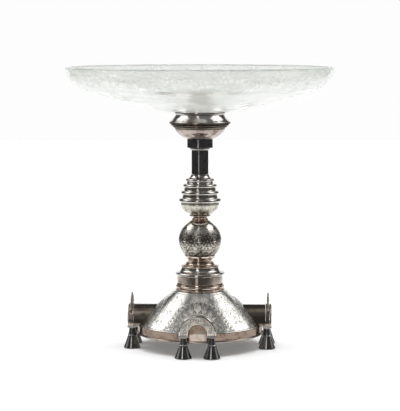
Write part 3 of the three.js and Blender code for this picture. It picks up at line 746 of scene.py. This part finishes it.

# Cone, with painted light in the recess under each vault

arch = {
    "centre": 23.3, "stilt": 1.6, "radius": 17.3, "wall": 1.6, "face": 68.1, "depth": 5.5, "rounding": 1.1,
    "vaultRadius": 16.7, "vaultSheet": 1.3, "plateInset": 0.8, "plateThickness": 1.2,
    "opening": 8.8, "lip": 1.3, "lipProud": 0.5, "gap": 0.3, "steps": 72,
}
cone = {"radius": 59.4, "top": 24.5, "height": 31.9, "bulge": 1.2, "steps": 720, "rows": 92,
        "rings": (1.1, 45.5), "sprigs": 130, "groundReach": 27.5}
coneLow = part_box("cone_foot")[0].z / mm
coneSide = bend((cone["radius"], 0), ((cone["radius"] + cone["top"]) / 2 + cone["bulge"] / 2,
                                      cone["height"] / 2 + cone["bulge"]), (cone["top"], cone["height"]), cone["rows"])


def coneRadiusAt(height):
    # outside of the cone at a height over the ground, in millimetres
    level = height - coneLow
    if level <= 0:
        return cone["radius"]
    for (r0, z0), (r1, z1) in zip(coneSide, coneSide[1:]):
        if z0 <= level <= z1:
            return r0 + (r1 - r0) * (level - z0) / (z1 - z0)
    return cone["top"]


def conePattern():
    # foliage that climbs on both sides of an arch, drawn for the right side and mirrored
    half = []
    scrolls = [(20.6, 4.2, 2.9, -1, 2.6), (25.8, 3.4, 2.4, 1, 0.6), (30.4, 2.6, 1.8, -1, 2.4),
               (19.8, 10.2, 2.6, 1, -1.4), (24.3, 8.6, 2.1, -1, 2.4), (28.2, 6.6, 1.6, 1, 0.8),
               (18.2, 15.8, 2.4, -1, 1.2), (22.1, 13.8, 1.8, 1, 0.4), (16.0, 20.8, 2.1, 1, -1.0),
               (19.6, 19.2, 1.6, -1, 0.6), (12.6, 25.0, 2.0, -1, 1.6), (16.2, 24.6, 1.5, 1, 0.2),
               (8.6, 28.2, 1.8, 1, -0.8), (12.2, 28.6, 1.3, -1, 1.0), (4.6, 30.4, 1.6, -1, 1.2),
               (1.2, 31.8, 1.3, 1, 0.4)]
    for x, y, radius, hand, start in scrolls:
        half += scrollWithLeaves((x, y), radius, 1.5, start, hand, 7)
    leaves = [(32.8, 2.2, 0.2), (30.6, 5.2, 0.5), (27.6, 9.4, 0.8), (25.6, 12.4, 0.9), (23.6, 16.4, 1.0),
              (21.4, 20.8, 1.1), (18.2, 25.4, 1.1), (14.2, 29.2, 1.2), (9.6, 31.2, 1.3), (5.6, 32.8, 1.4),
              (1.4, 34.0, 1.5)]
    for x, y, angle in leaves:
        half += leafAt((x, y), angle, 2.6, 0.1) + leafAt((x, y), angle - 0.9, 2.0, 0.1)
    # short sprigs, scattered over the rest of the slope
    scatter, sprigs = random.Random(7), []
    for _ in range(cone["sprigs"]):
        x, y, angle = scatter.uniform(2, 46), scatter.uniform(3, 43), scatter.uniform(0.9, 2.2)
        if hypot(x, y - 4) > 31:
            sprigs.append([(x, y), (x + cos(angle), y + sin(angle)),
                           (x + 2 * cos(angle + 0.3), y + 2 * sin(angle + 0.3))])
    return cutsOf(strokeTree(half), 0.6, 1.3), cutsOf(strokeTree(sprigs), 0.4)


def paintRecessLight(piece):
    # painted light: the faces seen through each arch's opening take the pale gold, so that the recess under the vault
    # looks lit
    piece.data.materials.append(finishes["paintedRecessLight"])
    for face in piece.data.polygons:
        x, y, z = face.center / mm
        across = abs(sin(offMiddle(x, y, quarter))) * hypot(x, y)
        if hypot(across, max(0, z - arch["centre"])) < arch["opening"] - 1 and z < 40:
            face.material_index = 1


def makeCone():
    inside = wallInside(coneSide[::23], sheet)
    top = cone["height"]
    outline = [*coneSide, (bore, top), (bore, top - sheet), (inside[0][0] - 1, top - sheet), *inside[1:-1],
               (cone["radius"] - 2 * sheet, 0)]
    piece = turnPiece("cone_foot", outline, "hammeredSilver", steps=cone["steps"], edge=0)
    paintRecessLight(piece)
    cuts, sprigs = conePattern()
    slope = hypot(cone["radius"] - cone["top"], top) / top

    def depthAt(co):
        radius = hypot(co.x, co.y)
        if radius < coneRadiusAt(co.z) - 0.4 or co.z - coneLow > top - 0.3:
            return 0.0
        u, v = abs(offMiddle(co.x, co.y, quarter)) * radius, (co.z - coneLow) * slope
        # a dark ground makes the cresting stand out
        behind = 0.5 if arch["radius"] < hypot(u, co.z - arch["centre"] + 4) < cone["groundReach"] else 0.0
        return max(ringsAt(v, cone["rings"], 0.35), behind, cuts(u, v), 0.75 * sprigs(u, v))

    engrave(piece, depthAt, sink=0.12)


makeCone()
# the band's faces seen through each arch take the same painted light
paintRecessLight(turnPiece("foot_band", [(57.9, 0), (59.4, 0), (59.4, 6.6), (57.9, 6.6)], "copperBand", steps=240,
                       edge=0.2))
turnPiece("foot_rim", [(57.9, 0), (59.4, 0), *roundBead(60.3, 1, 1.7), (59.4, 2), (57.9, 2)], "wornSilverAndEdgeShade",
          steps=240, edge=0)
print("cone made")

# Four vaults with their arches, crestings and feet

sides = {"front": 0, "right": 1, "back": 2, "left": 3}


def sideTurn(side):
    return Matrix.Rotation(sides[side] * quarter, 3, "Z")


def turnToSide(bm, side):
    bmesh.ops.rotate(bm, verts=bm.verts, cent=(0, 0, 0), matrix=sideTurn(side))


def edgesOf(geometry):
    return [g for g in geometry if isinstance(g, bmesh.types.BMEdge)]


def sweepSection(bm, corners, angle, steps):
    # carries a closed section about the arch's centre, and returns the edges at its start and end
    ring = [bm.verts.new(corner) for corner in corners]
    edges = [bm.edges.new(pair) for pair in zip(ring, ring[1:] + ring[:1])]
    out = bmesh.ops.spin(bm, geom=ring + edges, cent=(0, 0, arch["centre"] * mm), axis=(0, -1, 0), dvec=(0, 0, 0),
                         angle=angle, steps=steps, use_merge=False, use_duplicate=False)
    return edges, edgesOf(out["geom_last"])


def sweepArch(bm, section, steps, stiltRows=1):
    # carries a closed section of (radius, distance in front of the axis) over the arch and down its stilts
    ends = sweepSection(bm, [(r * mm, -y * mm, arch["centre"] * mm) for r, y in section], pi, steps)
    for loop in ends:
        for row in range(stiltRows):
            made = bmesh.ops.extrude_edge_only(bm, edges=loop)["geom"]
            moved = [g for g in made if isinstance(g, bmesh.types.BMVert)]
            bmesh.ops.translate(bm, verts=moved, vec=(0, 0, -arch["stilt"] / stiltRows * mm))
            loop = [e for e in edgesOf(made) if all(v in moved for v in e.verts)]
        bmesh.ops.contextual_create(bm, geom=loop)
    bmesh.ops.recalc_face_normals(bm, faces=bm.faces)


def makeVault(side):
    rows = 10
    front = arch["face"] - arch["depth"] - arch["gap"]
    outer, inner = arch["vaultRadius"], arch["vaultRadius"] - arch["vaultSheet"]
    # the section is drawn 0 to 1 deep, and each point is then set between the front and the cone
    section = [(outer, i / rows) for i in range(rows + 1)] + [(inner, 1 - i / rows) for i in range(rows + 1)]
    bm = bmesh.new()
    sweepArch(bm, section, arch["steps"], 2)
    for vertex in bm.verts:
        x, share, z = vertex.co.x / mm, -vertex.co.y / mm, vertex.co.z / mm
        reach = coneRadiusAt(z) + arch["gap"]
        back = sqrt(reach ** 2 - x ** 2)
        vertex.co.y = -(front + (back - front) * share) * mm
    bmesh.ops.recalc_face_normals(bm, faces=bm.faces)
    # painted light: the vault's inner faces take the pale gold of the lit recess
    for face in bm.faces:
        middle = face.calc_center_median() / mm
        reach = hypot(middle.x, max(0, middle.z - arch["centre"]))
        face.material_index = int(reach < inner + 0.1)
    turnToSide(bm, side)
    piece = makePiece(bm, side + "_vault_raised", "smokedSilverAndEdgeShade", [side + "_vault"])
    piece.data.materials.append(finishes["paintedRecessLight"])


def paintEdgeShade(piece, side, finish):
    # painted shade: faces of a side's piece that turn away from the front take a darker finish
    piece.data.materials.append(finishes[finish])
    outward = sideTurn(side) @ Vector((0, -1, 0))
    for face in piece.data.polygons:
        face.material_index = int(abs(face.normal.dot(outward)) < 0.5)


def makeArchivolt(side):
    outer, inner = arch["radius"], arch["radius"] - arch["wall"]
    face, back = arch["face"], arch["face"] - arch["depth"]
    rounding = arch["rounding"]
    corner = arc((outer - rounding, face - rounding), (rounding, rounding), 0, quarter, 6)
    section = [(inner, back), (outer, back), (outer, face - 2.2), (outer - 0.25, face - 1.9), *corner[1:],
               (inner + 0.15, face), (inner, face - 0.15)]
    bm = bmesh.new()
    sweepArch(bm, section, arch["steps"])
    turnToSide(bm, side)
    piece = makePiece(bm, side + "_archivolt_cast", "polishedSilver", [side + "_archivolt"])
    # painted shade on the archivolt's side faces
    paintEdgeShade(piece, side, "wornSilverAndEdgeShade")


def archPattern():
    # dense scrolls over the arch, as (distance along the middle of the band, distance across it)
    strokes = []
    radius = 12.8
    cells = 9
    cell = pi * radius / cells
    for i in range(cells):
        hand = 1 if i % 2 else -1
        strokes += scrollWithLeaves(((i + 0.5) * cell, 0.5 * hand), 1.9, 1.5, -hand * 1.2, hand, 5)
    return cutsOf(strokeTree(strokes, 0.1), 0.42, 2), radius


def makeArchPlate(side, pattern):
    cuts, middle = pattern
    front = arch["face"] - arch["plateInset"]
    back = front - arch["plateThickness"]
    outer = arch["radius"] - arch["wall"] - arch["gap"]
    lipOut, half = arch["opening"] + arch["lip"], arch["lip"] / 2
    count = 18
    field = [(lipOut + (outer - lipOut) * i / count, front) for i in range(count + 1)]
    bead = arc((lipOut - half, front), (half, arch["lipProud"]), 0, pi, 8)[1:-1]
    section = [(arch["opening"], back), (outer, back), *field[::-1], *bead, (arch["opening"], front - 0.1)]
    bm = bmesh.new()
    sweepArch(bm, section, 160, 4)
    turnToSide(bm, side)
    piece = makePiece(bm, side + "_arch_plate_engraved", "mattedSilver", [side + "_arch_plate"], smoothAngle=50)
    turnBack = sideTurn(side).inverted()

    def depthAt(co):
        local = turnBack @ co
        rise = max(0.0, local.z - arch["centre"])
        reach = hypot(local.x, rise)
        if -local.y < front - 0.2 or reach < lipOut + 0.3 or reach > outer - 0.3:
            return 0.0
        return max(ringsAt(reach, [outer - 0.7], 0.3), cuts(atan2(rise, local.x) * middle, reach - middle))

    engrave(piece, depthAt, sink=0.1)


# Cresting: a cast fan of palmettes on a rail, with a small ball between each two

crest = {"rail": 1.4, "thickness": 1.3, "petal": 2.2, "setBack": 3.3, "height": 10.8, "step": 15.5, "count": 3,
         "shrink": 0.19, "ball": 0.75, "spread": 30}


def crestPoint(angle, reach, distance):
    # a place at an angle from upright and a distance from the arch's centre
    return Vector((sin(angle) * reach, -distance, arch["centre"] + cos(angle) * reach)) * mm


def addPetal(bm, base, angle, length, width, thickness):
    # a rounded petal, narrow at its foot, pointing away from base
    made = bmesh.ops.create_uvsphere(bm, u_segments=10, v_segments=8, radius=0.5)["verts"]
    for vertex in made:
        share = vertex.co.z + 0.5
        narrow = 0.45 + 0.75 * share
        vertex.co = Vector((vertex.co.x * width * narrow, vertex.co.y * thickness, share * length)) * mm
    turn = Matrix.Rotation(angle, 4, "Y")
    bmesh.ops.transform(bm, verts=made, matrix=Matrix.Translation(base) @ turn)


def addPalmette(bm, angle, root, tip, width, petals):
    # petals fan out of one foot on the rail, the middle one longest
    foot = crestPoint(angle, root, arch["face"] - crest["setBack"])
    spread = radians(crest["spread"])
    for i in range(petals):
        lean = (i - (petals - 1) / 2) / ((petals - 1) / 2)
        length = (tip - root) * (1 - 0.33 * abs(lean) ** 1.5)
        addPetal(bm, foot, angle + lean * spread, length, width * 0.5, crest["petal"] * (1 - 0.15 * abs(lean)))


def makeCresting(side):
    bm = bmesh.new()
    inner = arch["radius"] + arch["gap"]
    outer = inner + crest["rail"]
    middle = arch["face"] - crest["setBack"]
    half = crest["thickness"] / 2
    step = radians(crest["step"])
    span = (crest["count"] + 0.35) * step
    section = [(inner, middle - half), (outer, middle - half), (outer, middle + half), (inner, middle + half)]
    for ends in sweepSection(bm, [crestPoint(span, r, y) for r, y in section], 2 * span, 40):
        bmesh.ops.contextual_create(bm, geom=ends)
    bmesh.ops.recalc_face_normals(bm, faces=bm.faces)
    for i in range(-crest["count"], crest["count"] + 1):
        tip = inner + crest["height"] * (1 - crest["shrink"] * abs(i))
        addPalmette(bm, i * step, outer - 0.6, tip - 0.2, 2.9 if i else 3.4, 5 if i else 7)
    for i in range(-crest["count"], crest["count"]):
        bead = bmesh.ops.create_uvsphere(bm, u_segments=10, v_segments=8, radius=crest["ball"] * mm)["verts"]
        bmesh.ops.translate(bm, verts=bead, vec=crestPoint((i + 0.5) * step, outer + 0.9, middle))
    turnToSide(bm, side)
    piece = makePiece(bm, side + "_cresting_cast", "castSilver", [side + "_cresting"], smoothAngle=60)
    # painted shade on the cresting's side faces
    paintEdgeShade(piece, side, "smokedSilverAndEdgeShade")


# Splayed feet: a flared foot, a ring and a neck that carries the pad

foot = {
    "spacing": 13.1, "reach": 63.9,
    "profile": [(0, 0), (7.5, 0), (8, 0.4), (8, 0.9), *bend((7.9, 1.1), (5.7, 6.4), (4.1, 12.1), 10),
                (4.1, 12.7), (3.7, 13.1), *bend((3.6, 13.3), (3.2, 15.5), (2.8, 18.9), 5), (3.6, 19.3),
                (3.6, 19.8), (1.5, 19.8), (1.5, 21.3), (0, 21.3)],
}


def makeFeet(side):
    for hand, number in ((-1, 1), (1, 2)):
        bm = bmesh.new()
        spinProfile(bm, foot["profile"], 64, 0)
        bmesh.ops.translate(bm, verts=bm.verts, vec=(hand * foot["spacing"] * mm, -foot["reach"] * mm, 0))
        turnToSide(bm, side)
        makePiece(bm, f"{side}_foot_{number}_turned", "darkSilver", [f"{side}_foot_{number}"])


pattern = archPattern()
for side in sides:
    makeVault(side)
    makeArchivolt(side)
    makeArchPlate(side, pattern)
    makeCresting(side)
    makeFeet(side)
print("sides made")

# Pads, nuts, washers and rod keep their own shape, with softened edges

keptNodes = {"socket_nut": 0.3, "socket_washer": 0.1, "foot_nut": 0.3, "foot_washer": 0.1, "tie_rod": 0.3}
for side in sides:
    keptNodes[side + "_pad_1"] = keptNodes[side + "_pad_2"] = 0.25
for name, edge in keptNodes.items():
    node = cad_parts[name]
    weld = node.modifiers.new("weld", "WELD")
    weld.merge_threshold = 0.01 * mm
    bevel = node.modifiers.new("edge", "BEVEL")
    bevel.width = edge * mm
    bevel.segments = 2
    bevel.limit_method = "ANGLE"
    bevel.angle_limit = radians(40)
    node.data.materials.clear()
    node.data.materials.append(finishes["darkSilver" if "pad" in name else "steel"])
print("small parts finished")


# Studio: a white table, dark room, two high soft boxes and a narrow one beside the camera

studio = {
    "room": 0.085, "roomTone": "#fdfdfe", "level": 0.985, "lowSky": 0.9,
    # daylight on matt things: even, with a brighter patch overhead, about 1 in all on the table
    "evenLight": 0.18, "overhead": 4.9, "overheadFrom": 1.19, "horizon": 0.6, "horizonTop": 0.32,
    # reach of the white table that metal sees, in metres: to each side, to the front and to the back
    "table": (0.26, 0.13, 1.0), "tableEdge": 1.75, "tableLift": 0.1, "tableColour": "#f4f4f4", "floorSize": 6,
}
# glows that metal sees: from and to in azimuth, softness, from and to in elevation, softness, strength
glows = {
    "softBoxes": ("around", 1.46, 2.23, 0.10, 0.66, 1.05, 0.08, 1.25),
    "softBoxWings": ("around", 2.23, 2.46, 0.08, 0.62, 0.90, 0.06, 1.1),
    "softBoxCorners": ("around", 1.42, 2.02, 0.05, 0.64, 0.90, 0.05, 1.5),
    "slitLow": ("azimuth", -0.34, -0.18, 0.03, -0.26, 0.36, 0.05, 0.9),
    "slitMiddle": ("azimuth", -0.36, -0.16, 0.03, 0.38, 0.62, 0.06, 2.0),
    "slitHigh": ("azimuth", -0.36, -0.16, 0.04, 0.66, 1.30, 0.06, 1.0),
    "behind": ("around", 2.75, 3.3, 0.1, -1.6, 0.33, 0.06, 1.0),
    "ceiling": ("around", -1.0, 4.0, 0.1, 0.88, 1.7, 0.1, 0.09),
    "ceilingMiddle": ("around", -1.0, 4.0, 0.1, 1.38, 1.7, 0.1, 0.36),
    "sideLow": ("around", 1.35, 1.85, 0.1, 0.18, 0.42, 0.08, 0.5),
}


def band(tree, value, low, high, soft):
    # 1 where value is between low and high, falling to 0 over soft
    return calc(tree, "MULTIPLY", ramp(tree, value, low - soft, low), ramp(tree, value, high, high + soft, 1.0, 0.0))


def makeWorld():
    world = bpy.data.worlds.new("studio")
    scene.world = world
    world.use_nodes = True
    tree = world.node_tree
    tree.nodes.clear()
    way = addNode(tree, "SeparateXYZ", {0: addNode(tree, "TexCoord").outputs["Generated"]}).outputs
    azimuth = calc(tree, "ARCTAN2", way[0], calc(tree, "MULTIPLY", way[1], -1.0))
    rise = calc(tree, "ARCSINE", way[2])
    turns = {"azimuth": azimuth, "around": calc(tree, "ABSOLUTE", azimuth)}
    light = studio["room"]
    for turn, low, high, soft, bottom, top, softRise, strength in glows.values():
        mask = calc(tree, "MULTIPLY", band(tree, turns[turn], low, high, soft), band(tree, rise, bottom, top, softRise))
        light = calc(tree, "MULTIPLY_ADD", mask, strength, light)
    room = addNode(tree, "Background", {"Color": hexLinear(studio["roomTone"]), "Strength": light})
    plain = addNode(tree, "Background", {"Color": white, "Strength": studio["level"]})
    overhead = ramp(tree, rise, studio["overheadFrom"] - 0.15, studio["overheadFrom"] + 0.15,
                    studio["evenLight"], studio["evenLight"] + studio["overhead"])
    horizon = ramp(tree, rise, studio["horizonTop"] - 0.1, studio["horizonTop"] + 0.1, studio["horizon"], 0.0)
    daylight = addNode(tree, "Background", {"Color": white, "Strength": calc(tree, "ADD", overhead, horizon)})
    # white for the eye and for a look through the glass, and daylight on matt things
    path = addNode(tree, "LightPath").outputs
    low = calc(tree, "LESS_THAN", rise, studio["lowSky"])
    through = calc(tree, "MULTIPLY", path["Is Transmission Ray"], low)
    # after an odd number of crossings the light is inside the glass
    inside = calc(tree, "MODULO", path["Transmission Depth"], 2.0)
    seen = calc(tree, "MAXIMUM", path["Is Camera Ray"], calc(tree, "MAXIMUM", inside, through))
    matt = calc(tree, "MINIMUM", path["Diffuse Depth"], 1.0)
    lit = addNode(tree, "MixShader", {0: matt, 1: room, 2: daylight})
    addNode(tree, "OutputWorld", {"Surface": addNode(tree, "MixShader", {0: seen, 1: lit, 2: plain})})


def makeFloor():
    bm = bmesh.new()
    bmesh.ops.create_grid(bm, x_segments=1, y_segments=1, size=studio["floorSize"] / 2)
    mesh = bpy.data.meshes.new("table")
    bm.to_mesh(mesh)
    bm.free()
    table = bpy.data.objects.new("table", mesh)
    scene.collection.objects.link(table)
    material, tree, place = newMaterial("whiteTable")
    side, front, back = studio["table"]
    apart = addNode(tree, "SeparateXYZ", {0: place}).outputs
    along = calc(tree, "MAXIMUM", calc(tree, "DIVIDE", apart[1], -front), calc(tree, "DIVIDE", apart[1], back))
    both = addNode(tree, "CombineXYZ", {0: calc(tree, "DIVIDE", apart[0], side), 1: along})
    away = addNode(tree, "VectorMath", {"operation": "LENGTH", 0: both}).outputs["Value"]
    beyond = ramp(tree, away, 1.0, 1.0 + studio["tableEdge"])
    # metal sees past the edge of the table into the dark room, and the eye sees white all over
    gone = calc(tree, "MULTIPLY", addNode(tree, "LightPath").outputs["Is Glossy Ray"], beyond)
    colour = hexLinear(studio["tableColour"])
    lit = addNode(tree, "AddShader", {
        0: addNode(tree, "BsdfDiffuse", {"Color": colour}),
        1: addNode(tree, "Emission", {"Color": colour, "Strength": studio["tableLift"]})})
    mixed = addNode(tree, "MixShader", {0: gone, 1: lit, 2: addNode(tree, "BsdfTransparent")})
    addNode(tree, "OutputMaterial", {"Surface": mixed})
    mesh.materials.append(material)


makeWorld()
makeFloor()
scene.view_settings.view_transform = "Standard"
print("studio set")

# Camera: far back and a little above the dish, looking slightly down

view = {"distance": 1.544, "height": 0.2973, "tilt": 6.02, "azimuth": 2.0, "lens": 143.5, "sensor": 36}
camera = bpy.data.objects.new("camera", bpy.data.cameras.new("camera"))
scene.collection.objects.link(camera)
camera.data.sensor_fit = "VERTICAL"
camera.data.sensor_height = view["sensor"]
camera.data.lens = view["lens"]
angle = radians(view["azimuth"])
camera.location = (view["distance"] * sin(angle), -view["distance"] * cos(angle), view["height"])
camera.rotation_euler = (radians(90 - view["tilt"]), 0, angle)
scene.camera = camera
